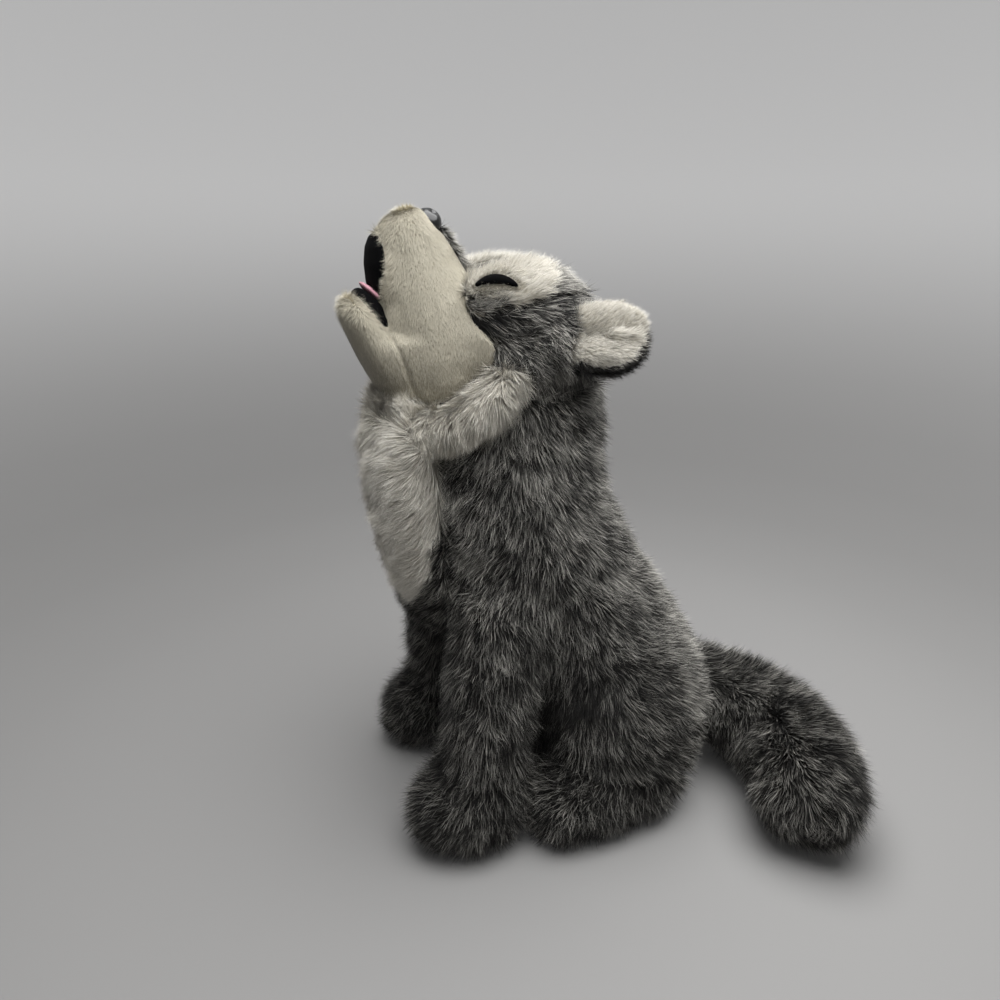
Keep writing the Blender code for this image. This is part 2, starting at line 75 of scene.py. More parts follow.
def add_node(tree, kind, inputs=None, **settings):
    """Adds a node. An input, by its name or place, is a plain value or the output of another node."""
    node = tree.nodes.new(kind)
    for name, value in settings.items():
        setattr(node, name, value)
    for place, value in (inputs or {}).items():
        if isinstance(value, bpy.types.NodeSocket):
            tree.links.new(value, node.inputs[place])
        else:
            node.inputs[place].default_value = value
    return node


def new_material(name, **inputs):
    """A Principled material, with its plain inputs given by name and underscores for spaces."""
    made = bpy.data.materials.new(name)
    made.use_nodes = True
    shader = made.node_tree.nodes["Principled BSDF"]
    for name, value in inputs.items():
        shader.inputs[name.replace("_", " ")].default_value = value
    return made, made.node_tree, shader


def new_object(name, data):
    made = bpy.data.objects.new(name, data)
    bpy.context.scene.collection.objects.link(made)
    return made


matt_card, card_tree, card_shader = new_material(
    "matt card", Base_Color=linear(SWEEP_GREY), Roughness=0.8, Emission_Color=(1.0, 1.0, 1.0, 1.0)
)
rays = add_node(card_tree, "ShaderNodeLightPath").outputs
seen = add_node(
    card_tree, "ShaderNodeMath", {0: rays["Is Camera Ray"], 1: rays["Is Glossy Ray"]}, operation="MAXIMUM"
)
seen = add_node(
    card_tree, "ShaderNodeMath", {0: seen.outputs[0], 1: rays["Is Transmission Ray"]}, operation="MAXIMUM"
)
card_place = add_node(card_tree, "ShaderNodeTexCoord").outputs["Object"]
card_height = add_node(card_tree, "ShaderNodeSeparateXYZ", {0: card_place}).outputs["Z"]
glow = add_node(
    card_tree, "ShaderNodeMapRange", {0: card_height, 1: -0.06, 2: 0.42, 3: 0.0, 4: SWEEP_GLOW},
    interpolation_type="SMOOTHSTEP",
)
glow = add_node(card_tree, "ShaderNodeMath", {0: glow.outputs[0], 1: seen.outputs[0]}, operation="MULTIPLY")
card_tree.links.new(glow.outputs[0], card_shader.inputs["Emission Strength"])
profile = [(0.0, 0.0), (SWEEP_RADIUS - SWEEP_BEND, 0.0)]
for step in range(1, 13):
    angle = math.pi / 2 * step / 12
    profile.append(
        (SWEEP_RADIUS - SWEEP_BEND + SWEEP_BEND * math.sin(angle), SWEEP_BEND * (1 - math.cos(angle)))
    )
profile.append((SWEEP_RADIUS, SWEEP_WALL))
shape = bmesh.new()
line = [shape.verts.new((r, 0, z)) for r, z in profile]
edges = [shape.edges.new(pair) for pair in zip(line, line[1:])]
bmesh.ops.spin(
    shape, geom=line + edges, cent=(0, 0, 0), axis=(0, 0, 1), angle=2 * math.pi, steps=72
)
bmesh.ops.remove_doubles(shape, verts=shape.verts, dist=1e-5)
bmesh.ops.recalc_face_normals(shape, faces=shape.faces)
sweep_mesh = bpy.data.meshes.new("sweep")
shape.to_mesh(sweep_mesh)
shape.free()
sweep_mesh.shade_smooth()
sweep_mesh.materials.append(matt_card)
new_object("sweep", sweep_mesh)

world = bpy.data.worlds.new("pale room")
world.use_nodes = True
world.node_tree.nodes["Background"].inputs["Color"].default_value = linear("#fbfbff")
world.node_tree.nodes["Background"].inputs["Strength"].default_value = ROOM_LIGHT
bpy.context.scene.world = world

lamp = bpy.data.lights.new("soft lamp", "AREA")
lamp.shape = "DISK"
lamp.size = LAMP_WIDTH
lamp.energy = LAMP_WATTS
new_object("soft lamp", lamp).location = LAMP_PLACE

camera = bpy.data.cameras.new("camera")
camera.lens = CAMERA_LENS
camera.sensor_width = 36.0
camera.clip_start = 0.01
camera_stand = new_object("camera", camera)
camera_stand.location = CAMERA_PLACE
camera_stand.rotation_mode = "QUATERNION"
camera_stand.rotation_quaternion = Vector(CAMERA_WAY).to_track_quat("-Z", "Y")
bpy.context.scene.camera = camera_stand
bpy.context.scene.view_settings.view_transform = "Standard"


# The torso: knitted backing with a long grey pile, sewn into a pear and stuffed. The skin lies as deep
# under the CAD solid's face as the pile stands high, and meets its neighbours' faces at the seams.
LONG_PILE = 0.0135
LONG_PILE_SINK = 0.0045
FIBRE_WIDTH = 0.00046
LONG_PILE_DENSITY = 2_900_000
SEAM_REACH = 0.010
FLOOR_CLEAR = 0.0004


def smooth_share(values, low, high):
    share = np.clip((values - low) / (high - low), 0.0, 1.0)
    return share * share * (3 - 2 * share)


def loose_mesh(*nodes):
    """A copy of the meshes of one or more CAD nodes, with their corners merged."""
    mesh = bpy.data.meshes.new(nodes[0])
    shape = bmesh.new()
    for node in nodes:
        shape.from_mesh(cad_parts[node].data)
    bmesh.ops.remove_doubles(shape, verts=shape.verts, dist=0.00002)
    shape.to_mesh(mesh)
    shape.free()
    return mesh


def tree_of(nodes):
    """A search tree of the faces of several CAD nodes."""
    corners, faces = [], []
    for node in nodes:
        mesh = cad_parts[node].data
        first = len(corners)
        corners.extend(vertex.co.copy() for vertex in mesh.vertices)
        faces.extend([first + corner for corner in face.vertices] for face in mesh.polygons)
    return BVHTree.FromPolygons(corners, faces)


def distances(points, *nodes):
    """How far each point is from the nearest face of some CAD nodes."""
    tree = tree_of(nodes)
    return np.array([tree.find_nearest(Vector(point))[3] for point in points])


def plain_mesh(obj):
    """The object's evaluated shape as a mesh of its own, its modifiers gone."""
    bpy.context.view_layer.update()
    graph = bpy.context.evaluated_depsgraph_get()
    mesh = bpy.data.meshes.new_from_object(obj.evaluated_get(graph))
    obj.modifiers.clear()
    obj.data = mesh
    mesh.name = obj.name
    return mesh


def points_of(mesh):
    points = np.empty(len(mesh.vertices) * 3)
    normals = np.empty(len(mesh.vertices) * 3)
    mesh.vertices.foreach_get("co", points)
    mesh.vertex_normals.foreach_get("vector", normals)
    return points.reshape(-1, 3), normals.reshape(-1, 3)


def cut_block(node, cuts):
    """A closed block of a CAD node's solid, with what lies beyond each cut taken off."""
    block = bmesh.new()
    block.from_mesh(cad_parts[node].data)
    bmesh.ops.remove_doubles(block, verts=block.verts, dist=0.00002)
    for spot, way in cuts:
        parts = block.verts[:] + block.edges[:] + block.faces[:]
        cut = bmesh.ops.bisect_plane(block, geom=parts, plane_co=spot, plane_no=way, clear_outer=True)
        rim = [part for part in cut["geom_cut"] if isinstance(part, bmesh.types.BMEdge)]
        bmesh.ops.holes_fill(block, edges=rim, sides=0)
    mesh = bpy.data.meshes.new(f"{node}_block")
    block.to_mesh(mesh)
    block.free()
    return mesh


def stuffed_skin(nodes, backing, slot, voxel, sink, soften=6, closed=(), blocks_in=(), name=None,
                 reach=SEAM_REACH):
    """A closed skin in the place of one or more CAD nodes, sunk under their faces, with each point's distance
    to the nearest seam. closed lists the creases that are filled: two nodes, how far, and between what heights.
    blocks_in are more closed meshes that the skin takes in."""
    nodes = (nodes,) if isinstance(nodes, str) else nodes
    skin = new_object(name or f"{nodes[0]}_skin", loose_mesh(*nodes))
    if blocks_in:
        joined = bmesh.new()
        joined.from_mesh(skin.data)
        for block in blocks_in:
            joined.from_mesh(block)
        joined.to_mesh(skin.data)
        joined.free()
    blocks = skin.modifiers.new("Stuffing", "REMESH")
    blocks.mode = "VOXEL"
    blocks.voxel_size = voxel
    blocks.use_smooth_shade = True
    rounding = skin.modifiers.new("Rounding", "SMOOTH")
    rounding.factor = 0.5
    rounding.iterations = soften
    mesh = plain_mesh(skin)
    points, normals = points_of(mesh)
    if closed:
        crease = skin.vertex_groups.new(name="crease")
        shares = np.zeros(len(points))
        for first, second, far, low, high in closed:
            beside = np.maximum(distances(points, first), distances(points, second))
            shares = np.maximum(shares, (1 - beside / far) * (points[:, 2] > low) * (points[:, 2] < high))
        for place in np.flatnonzero(shares > 0):
            crease.add([int(place)], float(shares[place]), "REPLACE")
        filling = skin.modifiers.new("Filled crease", "SMOOTH")
        filling.factor = 0.5
        filling.iterations = 60
        filling.vertex_group = "crease"
        mesh = plain_mesh(skin)
        points, normals = points_of(mesh)
    seam = distances(points, *[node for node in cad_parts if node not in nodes])
    down = np.where(points[:, 2] < 0.004, np.clip(-normals[:, 2], 0, 1), 0.0)
    depth = sink(points) if callable(sink) else sink
    depth = depth * smooth_share(seam, 0.0, reach) * (1 - down)
    points -= normals * depth[:, None]
    points[:, 2] = np.maximum(points[:, 2], 0.0)
    mesh.vertices.foreach_set("co", points.ravel())
    mesh.update()
    mesh.materials.clear()
    mesh.materials.append(backing)
    mesh.shade_smooth()
    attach(skin, "root")
    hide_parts(*nodes)
    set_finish(skin, slot)
    return skin, seam


pile_tree = bpy.data.node_groups.new("Sewn pile", "GeometryNodeTree")
pile_inputs = {
    name: pile_tree.interface.new_socket(name=name, in_out="INPUT", socket_type=kind).identifier
    for name, kind in (
        ("Skin", "NodeSocketGeometry"),
        ("Strands per square metre", "NodeSocketFloat"),
        ("Strand length", "NodeSocketFloat"),
        ("Strand width", "NodeSocketFloat"),
        ("Strand rows", "NodeSocketInt"),
        ("Strand arch", "NodeSocketFloat"),
        ("Lift", "NodeSocketFloat"),
        ("Tangle", "NodeSocketFloat"),
        ("Roll", "NodeSocketFloat"),
        ("Swirl size", "NodeSocketFloat"),
        ("Swirl spread", "NodeSocketFloat"),
        ("Lock size", "NodeSocketFloat"),
        ("Lock pull", "NodeSocketFloat"),
        ("Lock share", "NodeSocketFloat"),
        ("Patch size", "NodeSocketFloat"),
        ("Patch share", "NodeSocketFloat"),
        ("Seed", "NodeSocketInt"),
        ("Fibre", "NodeSocketMaterial"),
    )
}
pile_tree.interface.new_socket(name="Pile", in_out="OUTPUT", socket_type="NodeSocketGeometry")


def vector_step(operation, first, second=None, **more):
    inputs = {0: first}
    if second is not None:
        inputs[1] = second
    inputs.update(more)
    made = add_node(pile_tree, "ShaderNodeVectorMath", inputs, operation=operation)
    return made.outputs["Value" if operation == "DOT_PRODUCT" else "Vector"]


def number_step(operation, first, second=0.5, clamp=False):
    made = add_node(
        pile_tree, "ShaderNodeMath", {0: first, 1: second}, operation=operation, use_clamp=clamp
    )
    return made.outputs[0]


def chance(low, high, seed):
    """A random number of each strand's own."""
    made = add_node(pile_tree, "FunctionNodeRandomValue", {2: low, 3: high, 8: seed}, data_type="FLOAT")
    return made.outputs[1]


given = add_node(pile_tree, "NodeGroupInput").outputs
comb, cover, length_share, shade = (
    add_node(pile_tree, "GeometryNodeInputNamedAttribute", {"Name": name}, data_type=kind).outputs[0]
    for name, kind in (("comb", "FLOAT_VECTOR"), ("cover", "FLOAT"), ("length", "FLOAT"), ("shade", "FLOAT"))
)
place = add_node(pile_tree, "GeometryNodeInputPosition").outputs[0]
roots = add_node(
    pile_tree,
    "GeometryNodeDistributePointsOnFaces",
    {
        "Mesh": given["Skin"],
        "Density": number_step("MULTIPLY", given["Strands per square metre"], cover),
        "Seed": given["Seed"],
    },
    distribute_method="RANDOM",
)
outward = roots.outputs["Normal"]
swirl = add_node(
    pile_tree,
    "ShaderNodeTexNoise",
    {"Vector": place, "Scale": number_step("DIVIDE", 1.0, given["Swirl size"]), "Detail": 1.0},
).outputs["Color"]
swirl = vector_step("SCALE", vector_step("SUBTRACT", swirl, (0.5, 0.5, 0.5)), Scale=given["Swirl spread"])
lock = add_node(
    pile_tree,
    "ShaderNodeTexVoronoi",
    {"Vector": place, "Scale": number_step("DIVIDE", 1.0, given["Lock size"])},
).outputs
to_lock = vector_step("SUBTRACT", lock["Position"], place)
to_lock = vector_step("SCALE", to_lock, Scale=number_step("DIVIDE", given["Lock pull"], given["Strand length"]))
tangle = add_node(
    pile_tree,
    "FunctionNodeRandomValue",
    {0: (-1, -1, -1), 1: (1, 1, 1), 8: number_step("ADD", given["Seed"], 11)},
    data_type="FLOAT_VECTOR",
).outputs[0]
swerve = vector_step("ADD", swirl, vector_step("SCALE", tangle, Scale=given["Tangle"]))
lay = vector_step("ADD", vector_step("ADD", comb, swerve), to_lock)
lay = vector_step("SUBTRACT", lay, vector_step("SCALE", outward, Scale=vector_step("DOT_PRODUCT", lay, outward)))
rise = number_step("MULTIPLY", given["Lift"], chance(0.45, 1.6, number_step("ADD", given["Seed"], 1)))
strand_way = vector_step("ADD", lay, vector_step("SCALE", outward, Scale=rise))
face_way = vector_step("ADD", outward, vector_step("SCALE", tangle, Scale=given["Roll"]))
stand = add_node(
    pile_tree,
    "FunctionNodeAxesToRotation",
    {0: strand_way, 1: face_way},
    primary_axis="Y",
    secondary_axis="Z",
).outputs[0]
patch = add_node(
    pile_tree,
    "ShaderNodeTexNoise",
    {"Vector": place, "Scale": number_step("DIVIDE", 1.0, given["Patch size"]), "Detail": 2.0},
).outputs["Fac"]
patch = number_step("MULTIPLY", number_step("SUBTRACT", patch, 0.5), given["Patch share"])
lock_tone = add_node(pile_tree, "ShaderNodeSeparateXYZ", {0: lock["Color"]}).outputs["X"]
own_tone = chance(0.0, 1.0, number_step("ADD", given["Seed"], 2))
tone = add_node(
    pile_tree, "ShaderNodeMix", {0: given["Lock share"], 2: own_tone, 3: lock_tone}, data_type="FLOAT"
).outputs[0]
tone = add_node(pile_tree, "ShaderNodeMapRange", {0: tone, 1: 0.46, 2: 0.86}, interpolation_type="SMOOTHSTEP").outputs[0]
# Each strand's shade shifts its tone between the fibre's two kinds. It carries the pile's own tones, and also painted
# shade and painted light.
tone = number_step("ADD", number_step("ADD", tone, patch), shade, clamp=True)
roots = add_node(
    pile_tree,
    "GeometryNodeStoreNamedAttribute",
    {"Geometry": roots.outputs["Points"], "Name": "tone", "Value": tone},
    data_type="FLOAT",
    domain="POINT",
).outputs[0]

strand = add_node(
    pile_tree, "GeometryNodeMeshGrid", {"Vertices X": 2, "Vertices Y": given["Strand rows"]}
).outputs["Mesh"]
corner = add_node(pile_tree, "ShaderNodeSeparateXYZ", {0: place}).outputs
along = number_step("ADD", corner["Y"], 0.5)
for name, value in (("along", along), ("across", number_step("ADD", corner["X"], 0.5))):
    strand = add_node(
        pile_tree,
        "GeometryNodeStoreNamedAttribute",
        {"Geometry": strand, "Name": name, "Value": value},
        data_type="FLOAT",
        domain="POINT",
    ).outputs[0]
taper = number_step("SUBTRACT", 1.0, number_step("MULTIPLY", along, along))
arch = number_step("MULTIPLY", number_step("MULTIPLY", along, number_step("SUBTRACT", 1.0, along)), given["Strand arch"])
bent = add_node(
    pile_tree, "ShaderNodeCombineXYZ", {0: number_step("MULTIPLY", corner["X"], taper), 1: along, 2: arch}
).outputs[0]
strand = add_node(pile_tree, "GeometryNodeSetPosition", {"Geometry": strand, "Position": bent}).outputs[0]
strand = add_node(pile_tree, "GeometryNodeMergeByDistance", {"Geometry": strand, "Distance": 0.001}).outputs[0]
strand = add_node(pile_tree, "GeometryNodeSetShadeSmooth", {"Geometry": strand}).outputs[0]

reach = number_step("MULTIPLY", given["Strand length"], length_share)
reach = number_step("MULTIPLY", reach, chance(0.6, 1.15, number_step("ADD", given["Seed"], 3)))
girth = number_step(
    "MULTIPLY", given["Strand width"], chance(0.65, 1.25, number_step("ADD", given["Seed"], 4))
)
size = add_node(pile_tree, "ShaderNodeCombineXYZ", {0: girth, 1: reach, 2: reach}).outputs[0]
coat = add_node(
    pile_tree,
    "GeometryNodeInstanceOnPoints",
    {"Points": roots, "Instance": strand, "Rotation": stand, "Scale": size},
).outputs[0]
coat = add_node(pile_tree, "GeometryNodeRealizeInstances", {0: coat}).outputs[0]
spot = add_node(pile_tree, "ShaderNodeSeparateXYZ", {0: place}).outputs
above_floor = add_node(
    pile_tree,
    "ShaderNodeCombineXYZ",
    {0: spot["X"], 1: spot["Y"], 2: number_step("MAXIMUM", spot["Z"], FLOOR_CLEAR)},
).outputs[0]
coat = add_node(pile_tree, "GeometryNodeSetPosition", {"Geometry": coat, "Position": above_floor}).outputs[0]
stored = {
    name: add_node(
        pile_tree, "GeometryNodeInputNamedAttribute", {"Name": name}, data_type="FLOAT"
    ).outputs[0]
    for name in ("tone", "along", "across")
}
across_step = number_step("MULTIPLY", stored["across"], 0.012)
pattern = add_node(
    pile_tree,
    "ShaderNodeCombineXYZ",
    {
        0: number_step("ADD", number_step("MULTIPLY", stored["tone"], 0.96), across_step),
        1: number_step("MULTIPLY", stored["along"], 0.98),
    },
).outputs[0]
coat = add_node(
    pile_tree,
    "GeometryNodeStoreNamedAttribute",
    {"Geometry": coat, "Name": "OFBake", "Value": pattern},
    data_type="FLOAT2",
    domain="CORNER",
).outputs[0]
coat = add_node(pile_tree, "GeometryNodeSetMaterial", {"Geometry": coat, "Material": given["Fibre"]}).outputs[0]
add_node(pile_tree, "NodeGroupOutput", {0: coat})


def grow_pile(skin, seam, fibre, comb, seed, length=LONG_PILE, width=FIBRE_WIDTH, density=LONG_PILE_DENSITY,
              lift=0.68, tangle=0.38, roll=0.60, swirl_size=0.012, swirl_spread=2.6, lock_size=0.0036, lock_pull=0.6,
              lock_share=0.30, patch_size=0.018, patch_share=1.3, cover_at=None,
              rows=2, arch=0.0, bare=(0.0006, 0.0022), length_at=None, shade_at=None, lay_at=None,
              name=None, slot=None):
    """Grows the pile on a skin. comb gives the way that the strands lie, from points and normals."""
    mesh = skin.data.copy()
    points, normals = points_of(mesh)
    ways = np.array(comb(points, normals), float)
    ways /= np.maximum(np.linalg.norm(ways, axis=1), 1e-9)[:, None]
    ways -= normals * (ways * normals).sum(1)[:, None]
    ways /= np.maximum(np.linalg.norm(ways, axis=1), 0.25)[:, None]
    if lay_at is not None:
        ways *= lay_at(points, normals)[:, None]
    underside = (points[:, 2] < 0.003) & (normals[:, 2] < -0.5)
    cover = smooth_share(seam, *bare) * (1.0 - underside)
    if cover_at is not None:
        cover *= cover_at(points, normals)
    lengths = np.ones(len(points)) if length_at is None else length_at(points, normals)
    # shades: each point's shift of tone, for the pile's own colour and for painted shade and painted light.
    shades = np.zeros(len(points)) if shade_at is None else shade_at(points, normals)
    mesh.attributes.new("comb", "FLOAT_VECTOR", "POINT").data.foreach_set("vector", ways.ravel())
    for word, values in (("cover", cover), ("length", lengths), ("shade", shades)):
        mesh.attributes.new(word, "FLOAT", "POINT").data.foreach_set("value", values)
    pile = new_object(name or skin.name.replace("_skin", "_pile"), mesh)
    growth = pile.modifiers.new("Pile", "NODES")
    growth.node_group = pile_tree
    for word, value in (
        ("Strands per square metre", float(density)),
        ("Strand length", length),
        ("Strand width", width),
        ("Strand rows", rows),
        ("Strand arch", arch),
        ("Lift", lift),
        ("Tangle", tangle),
        ("Roll", roll),
        ("Swirl size", swirl_size),
        ("Swirl spread", swirl_spread),
        ("Lock size", lock_size),
        ("Lock pull", lock_pull),
        ("Lock share", lock_share),
        ("Patch size", patch_size),
        ("Patch share", patch_share),
        ("Seed", seed),
        ("Fibre", fibre),
    ):
        growth[pile_inputs[word]] = value
    mesh = plain_mesh(pile)
    for word in ("comb", "cover", "length", "shade", "tone", "along", "across"):
        if word in mesh.attributes:
            mesh.attributes.remove(mesh.attributes[word])
    print(pile.name, len(mesh.polygons), "faces")
    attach(pile, "root")
    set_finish(pile, slot or skin["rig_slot"])
    return pile


def fibre_material(name, dark, light, roughness=0.62, sheen=0.25):
    """Fibres that are darker at the root and paler at the tip: in the grey and dark pile their own colour, in the
    white and cream pile painted shade between the strands. Each strand's tone lies between two kinds.
    """
    made, tree, shader = new_material(
        name, Roughness=roughness, Sheen_Weight=sheen, Sheen_Roughness=0.45, Specular_IOR_Level=0.2
    )
    pattern = add_node(tree, "ShaderNodeUVMap", uv_map="OFBake").outputs[0]
    pattern = add_node(tree, "ShaderNodeSeparateXYZ", {0: pattern}).outputs
    kinds = []
    for stops in (dark, light):
        ramp = add_node(tree, "ShaderNodeValToRGB", {0: pattern["Y"]})
        while len(ramp.color_ramp.elements) < len(stops):
            ramp.color_ramp.elements.new(0.5)
        for element, (position, colour) in zip(ramp.color_ramp.elements, stops):
            element.position = position
            element.color = linear(colour)
        kinds.append(ramp.outputs[0])
    mixed = add_node(tree, "ShaderNodeMix", {0: pattern["X"], 6: kinds[0], 7: kinds[1]}, data_type="RGBA")
    tree.links.new(mixed.outputs[2], shader.inputs["Base Color"])
    return made


def backing_material(name, colour, other, grain=0.004):
    """The dense underfur and knitted backing between the strands."""
    made, tree, shader = new_material(name, Roughness=0.9, Specular_IOR_Level=0.15)
    spot = add_node(tree, "ShaderNodeTexCoord").outputs["Object"]
    speckle = add_node(tree, "ShaderNodeTexNoise", {"Vector": spot, "Scale": 1 / grain, "Detail": 3.0})
    mixed = add_node(
        tree,
        "ShaderNodeMix",
        {0: speckle.outputs["Fac"], 6: linear(colour), 7: linear(other)},
        data_type="RGBA",
    )
    tree.links.new(mixed.outputs[2], shader.inputs["Base Color"])
    bump = add_node(
        tree, "ShaderNodeBump", {"Strength": 0.6, "Distance": 0.001, "Height": speckle.outputs["Fac"]}
    )
    tree.links.new(bump.outputs[0], shader.inputs["Normal"])
    return made


grey_fibre = fibre_material(
    "grey modacrylic pile",
    ((0.0, "#060606"), (0.50, "#121111"), (1.0, "#292826")),
    ((0.0, "#0e0e0e"), (0.35, "#64625d"), (0.70, "#d4d1c8"), (1.0, "#fbf8ef")),
    sheen=0.05,
)
grey_backing = backing_material("grey underfur", "#0d0d0c", "#1c1b1a")


BODY = ("torso", "foreleg_left", "foreleg_right", "haunch_left", "haunch_right")
SEAM_BLEND = 0.006
WHORL_PLACE = (0.074, -0.008, 0.112)
WHORL_SIZE = 0.024


def torso_comb(points, normals):
    """Down from the neck, parted along each side: forward to the bib, and back to the spine."""
    parting = np.interp(
        points[:, 2], (0.0, 0.07, 0.12, 0.17, 0.22, 0.28), (0.020, 0.010, -0.008, -0.022, -0.034, -0.030)
    )
    sway = (points[:, 1] - parting) / 0.055
    return np.stack((0.25 * points[:, 0] / 0.06, np.clip(sway * 1.3, -1.9, 1.5), np.full(len(points), -1.0)), 1)


def leg_comb(points, normals):
    """Down the leg, and a little out and forward."""
    return np.stack(
        (0.35 * np.sign(points[:, 0]), np.full(len(points), -0.20), np.full(len(points), -1.0)), 1
    )


def whorl_share(points):
    centre = np.stack((WHORL_PLACE[0] * np.sign(points[:, 0]), *(np.full(len(points), c) for c in WHORL_PLACE[1:])), 1)
    return points - centre, 1 - smooth_share(np.linalg.norm(points - centre, axis=1), 0.3 * WHORL_SIZE, WHORL_SIZE)


def haunch_comb(points, normals):
    """Forward, down and back from a tangled patch high on the haunch."""
    out, near = whorl_share(points)
    tangled = np.array([noise.noise_vector(Vector(point) / 0.006) for point in points])
    ways = np.stack((0.3 * np.sign(points[:, 0]), np.clip(out[:, 1] / 0.028, -0.9, 1.4), near * 0.8 - 1.0), 1)
    return ways * (1 - 0.5 * near)[:, None] + tangled * (3.0 * near)[:, None]


def body_comb(points, normals):
    """Each panel's own way, blended over the seams."""
    ways = np.zeros((len(points), 3))
    for node in BODY:
        share = np.exp(-distances(points, node) / SEAM_BLEND)[:, None]
        comb = torso_comb if node == "torso" else leg_comb if "foreleg" in node else haunch_comb
        own = comb(points, normals)
        ways += share * own / np.linalg.norm(own, axis=1)[:, None]
    return ways


def painted_light_and_shade(points, normals):
    """Painted shade and painted light: the pile is painted darker towards the floor, where less light falls, and
    lighter towards the back, where the lamp falls. It is also a little darker where it is tangled.
    """
    _, near = whorl_share(points)
    low = 1 - smooth_share(points[:, 2], 0.05, 0.24)
    return 0.02 + 0.36 * smooth_share(points[:, 1], 0.02, 0.06) - 0.34 * low - 0.04 * near


body_skin, body_seam = stuffed_skin(
    BODY, grey_backing, "grey_fur", voxel=0.004, sink=LONG_PILE_SINK, name="body_skin",
    closed=[("torso", limb, 0.013, 0.0, 1.0) for limb in BODY[1:]],
)
points, _ = points_of(body_skin.data)
apart = np.array([distances(points, node) for node in BODY])
nearest = np.argmin(apart, axis=0)
# Painted shade: the pile is darkened along the creases where the body's panels meet, low down and towards the front.
crease = 1 - smooth_share(np.sort(apart, axis=0)[1], 0.001, 0.017)
crease *= 1 - smooth_share(points[:, 2], 0.085, 0.112)
crease *= 1 - 0.8 * smooth_share(points[:, 1], 0.005, 0.035)
by_bib = 1 - smooth_share(distances(points, "chest_bib"), 0.002, 0.016)
for place, node in enumerate(BODY):
    grow_pile(body_skin, body_seam, grey_fibre, body_comb, seed=20 + place, name=f"{node}_pile",
              cover_at=lambda points, normals: nearest == place,
              length_at=lambda points, normals: 1 - 0.35 * by_bib,
              shade_at=lambda points, normals: painted_light_and_shade(points, normals) - 0.45 * crease)


# The chest bib: a panel of long white pile down the chest, sewn into the torso's front seams and stuffed.
# The white pile's darker roots are painted shade between the strands.
white_fibre = fibre_material(
    "white modacrylic pile",
    ((0.0, "#79746a"), (0.4, "#aca79b"), (1.0, "#d3cec2")),
    ((0.0, "#9d988c"), (0.4, "#dcd8cd"), (1.0, "#fbf8f0")),
)
white_backing = backing_material("white underfur", "#9b968a", "#bdb8ab")


GREY_EDGE = (
    (0.110, -0.1250), (0.122, -0.1080), (0.135, -0.0960), (0.150, -0.0890), (0.165, -0.0860), (0.189, -0.0845),
    (0.210, -0.0810), (0.224, -0.0760), (0.236, -0.0700), (0.260, -0.0550),
)
BIB_TOP = 0.246


def bib_comb(points, normals):
    """Down the chest, drawn forward to its middle line, and up against the jaw at its top."""
    top = smooth_share(points[:, 2], BIB_TOP - 0.006, BIB_TOP + 0.004)
    down = np.stack(
        (-0.7 * points[:, 0] / 0.045, np.full(len(points), -1.0), np.full(len(points), -0.7)), 1
    )
    up = np.stack((0.3 * np.sign(points[:, 0]), np.full(len(points), -0.5), np.full(len(points), 0.8)), 1)
    return down * (1 - top)[:, None] + up * top[:, None]


def in_bib(points):
    """The grey pile of the sides comes onto the panel's rear edge, as far as GREY_EDGE."""
    edge = np.interp(points[:, 2], *zip(*GREY_EDGE))
    return smooth_share(edge - points[:, 1], -0.0015, 0.0015)


bib_skin, bib_seam = stuffed_skin("chest_bib", white_backing, "white_fur", voxel=0.003, sink=0.0035)
grow_pile(bib_skin, bib_seam, white_fibre, bib_comb, seed=2, length=0.0115, width=0.00042, density=4_200_000,
          lift=0.50, tangle=0.24, roll=0.45, lock_size=0.005, lock_pull=0.35, lock_share=0.15, patch_share=0.5,
          shade_at=lambda points, normals: np.full(len(points), 0.50), cover_at=lambda points, normals: in_bib(points), bare=(-0.001, 0.0))
grow_pile(bib_skin, bib_seam, grey_fibre, torso_comb, seed=32, length=0.0095, density=4_500_000, bare=(-0.001, 0.0), shade_at=painted_light_and_shade, cover_at=lambda points, normals: 1 - in_bib(points),
          name="chest_edge_pile", slot="grey_fur")


# The head: the same grey pile, a little shorter, brushed back from the snout towards the neck. The cheek
# panels of short cream pile reach back onto it, to a corner over each ruff.
CHEEK_EDGE = ((0.2600, -0.0555), (0.2789, -0.0535), (0.2859, -0.0535), (0.3000, -0.0611), (0.3100, -0.0650))


def head_comb(points, normals):
    fall = smooth_share(-points[:, 2], -0.315, -0.265)
    return np.stack((0.2 * np.sign(points[:, 0]), 1.0 - 0.5 * fall, -0.25 - 1.1 * fall), 1)


def in_cheek(points):
    """The height and the place from front to back of the cheek panel's rear edge are CHEEK_EDGE."""
    edge = np.interp(points[:, 2], *zip(*CHEEK_EDGE))
    return smooth_share(edge - points[:, 1], -0.0004, 0.0004)


head_skin, head_seam = stuffed_skin("head", grey_backing, "grey_fur", voxel=0.003, sink=0.004)
grow_pile(head_skin, head_seam, grey_fibre, head_comb, seed=3, length=0.0105, lift=0.45, tangle=0.40,
          density=4_000_000, width=0.00038, cover_at=lambda points, normals: 1 - in_cheek(points),
          length_at=lambda points, normals: 1 - 0.6 * (
              smooth_share(-np.abs(points[:, 0]), -0.020, -0.012) * smooth_share(-points[:, 1], 0.015, 0.030)
          ))


# The brows: panels of white pile of middle length that stand up round the closed eyes. Below the white, the
# grey pile of the face comes up to the eye.
EYE_HEIGHT = 0.3165
WHITE_EDGE = (
    (-0.0660, 0.3098), (-0.0545, 0.3085), (-0.0495, 0.3072), (-0.0460, 0.3046), (-0.0426, 0.3016),
    (-0.0375, 0.3010), (-0.0301, 0.3086), (-0.0209, 0.3151), (-0.0180, 0.3190), (-0.0150, 0.3300),
)


